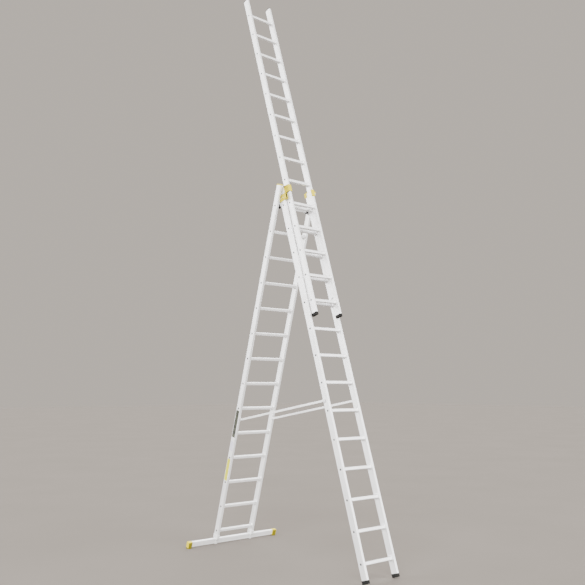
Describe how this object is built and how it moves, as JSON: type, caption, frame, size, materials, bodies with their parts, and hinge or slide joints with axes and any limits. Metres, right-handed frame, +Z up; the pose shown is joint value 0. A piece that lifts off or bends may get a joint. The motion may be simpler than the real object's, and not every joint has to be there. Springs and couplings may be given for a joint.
{
  "type": "three section combination ladder",
  "caption": "Aluminium combination ladder: an A-frame of two hinged sections with a third section run up through guides, stabiliser bar and hooked spreader bars.",
  "frame": {"origin": "middle of the footprint at floor level, ladder standing as a stepladder with the top section run up", "axes": "+Z up, +X along the rungs, +Y towards the rear section with the stabiliser"},
  "size_m": [1.204, 2.3578, 6.2981],
  "materials": {
    "aluminium_extrusion": "bright mill finish",
    "cast_aluminium": "satin casting",
    "yellow_plastic": "moulded",
    "black_rubber": "matt",
    "olive_rubber": "matt",
    "black_plastic": "moulded",
    "dark_bolt_steel": "phosphated",
    "zinc_steel": "zinc plated"
  },
  "bodies": {
    "middle": {"guide_block_left": "yellow_plastic", "guide_block_right": "yellow_plastic", "guide_clamp_left": "aluminium_extrusion", "guide_clamp_right": "aluminium_extrusion", "guide_head_left": "yellow_plastic", "guide_head_right": "yellow_plastic", "guide_rivets": "zinc_steel", "hinge_claw_left": "cast_aluminium", "hinge_claw_right": "cast_aluminium", "hinge_claw_rivets": "zinc_steel", "middle_foot_left": "black_rubber", "middle_foot_right": "black_rubber", "middle_rung_bolts": "dark_bolt_steel", "middle_rung_collars": "cast_aluminium", "middle_rung_plugs": "cast_aluminium", "middle_rungs": "aluminium_extrusion", "middle_stile_left": "aluminium_extrusion", "middle_stile_right": "aluminium_extrusion", "spreader_studs": "zinc_steel", "stile_hood_left": "yellow_plastic", "stile_hood_right": "yellow_plastic"},
    "rear": {"hinge_bushes": "black_plastic", "rear_rung_bolts": "dark_bolt_steel", "rear_rung_collars": "cast_aluminium", "rear_rung_plugs": "cast_aluminium", "rear_rungs": "aluminium_extrusion", "rear_stile_left": "aluminium_extrusion", "rear_stile_right": "aluminium_extrusion", "rear_top_cap_left": "yellow_plastic", "rear_top_cap_right": "yellow_plastic", "spreader_bracket_left": "zinc_steel", "spreader_bracket_right": "zinc_steel", "spreader_bracket_rivets": "zinc_steel", "spreader_pivot_hardware": "zinc_steel", "stabiliser_bar": "aluminium_extrusion", "stabiliser_bolts": "zinc_steel", "stabiliser_end_cap_left": "yellow_plastic", "stabiliser_end_cap_right": "yellow_plastic", "stabiliser_nuts": "zinc_steel", "stabiliser_pad_left": "olive_rubber", "stabiliser_pad_right": "olive_rubber", "stabiliser_saddle_left": "cast_aluminium", "stabiliser_saddle_right": "cast_aluminium"},
    "top": {"lock_pivots": "zinc_steel", "lock_springs": "zinc_steel", "top_end_cap_left": "black_plastic", "top_end_cap_right": "black_plastic", "top_foot_left": "black_rubber", "top_foot_right": "black_rubber", "top_rung_bolts": "dark_bolt_steel", "top_rung_collars": "cast_aluminium", "top_rung_plugs": "cast_aluminium", "top_rungs": "aluminium_extrusion", "top_stile_left": "aluminium_extrusion", "top_stile_right": "aluminium_extrusion"},
    "lock_left": {"rung_lock_left": "zinc_steel"},
    "lock_right": {"rung_lock_right": "zinc_steel"},
    "spreader_bar_left": {"spreader_bar_left": "zinc_steel"},
    "spreader_bar_right": {"spreader_bar_right": "zinc_steel"}
  },
  "joints": [
    {"name": "fold", "type": "hinge", "parent": "rear", "child": "middle", "pos_m": [0, 0.09056, 3.64942], "axis": [1, 0, 0], "range_deg": [0, 33.79]},
    {"name": "top_slide", "type": "slide", "parent": "middle", "child": "top", "axis": [0, 0.3002, 0.9539], "range_m": [-2.52, 0.28]},
    {"name": "left_bar_swing", "type": "hinge", "parent": "rear", "child": "spreader_bar_left", "pos_m": [-0.215, 0.70925, 1.37983], "axis": [1, 0, 0], "range_deg": [-64.5, 0]},
    {"name": "right_bar_swing", "type": "hinge", "parent": "rear", "child": "spreader_bar_right", "pos_m": [0.215, 0.70925, 1.37983], "axis": [1, 0, 0], "range_deg": [-64.5, 0]},
    {"name": "left_lock_swing", "type": "hinge", "parent": "top", "child": "lock_left", "pos_m": [-0.148, -0.36187, 2.64491], "axis": [1, 0, 0], "range_deg": [0, 70], "stiffness_Nm_per_rad": 0.1, "springref_deg": -20.05},
    {"name": "right_lock_swing", "type": "hinge", "parent": "top", "child": "lock_right", "pos_m": [0.148, -0.36187, 2.64491], "axis": [1, 0, 0], "range_deg": [0, 70], "stiffness_Nm_per_rad": 0.1, "springref_deg": -20.05}
  ],
  "couplings": [
    {"joint": "left_bar_swing", "follows": "fold", "ratio": -1.9041},
    {"joint": "right_bar_swing", "follows": "fold", "ratio": -1.9041}
  ]
}
